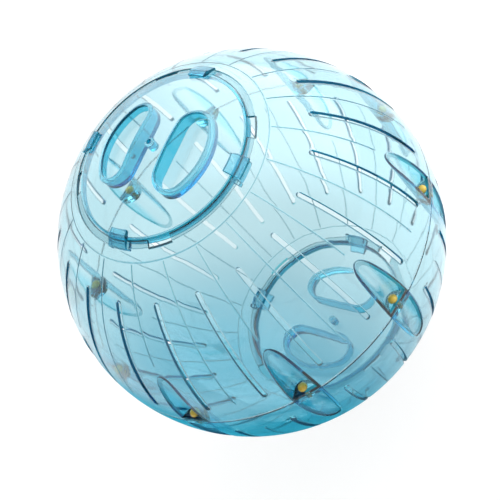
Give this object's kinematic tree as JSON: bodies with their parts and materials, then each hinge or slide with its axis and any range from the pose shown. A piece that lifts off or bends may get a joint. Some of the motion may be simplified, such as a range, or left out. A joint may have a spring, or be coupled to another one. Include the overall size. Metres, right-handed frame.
{
  "type": "hamster ball",
  "caption": "Clear slotted exercise ball for a small pet, in half shells pinned along the seam, with a flush twist-off door at each pole.",
  "frame": {"origin": "centre of the ball", "axes": "+Z out through the front door's centre, +X along the front door's grip bar, seam in the XY plane"},
  "size_m": [0.29, 0.29, 0.29],
  "materials": {
    "clear_shell": "polished clear pale blue",
    "clear_door": "polished clear pale blue",
    "pin": "moulded golden yellow"
  },
  "bodies": {
    "ball": {"front_half_shell": "clear_shell", "rear_half_shell": "clear_shell", "pin_01": "pin", "pin_02": "pin", "pin_03": "pin", "pin_04": "pin", "pin_05": "pin", "pin_06": "pin", "pin_07": "pin", "pin_08": "pin", "pin_09": "pin", "pin_10": "pin"},
    "front_door": {"front_door": "clear_door"},
    "rear_door": {"rear_door": "clear_door"}
  },
  "joints": [
    {"name": "front_door_twist", "type": "hinge", "parent": "ball", "child": "front_door", "pos_m": [0, 0, 0], "axis": [0, 0, 1], "range_deg": [0, 27]},
    {"name": "rear_door_twist", "type": "hinge", "parent": "ball", "child": "rear_door", "pos_m": [0, 0, 0], "axis": [0, 0, -1], "range_deg": [0, 27]}
  ]
}
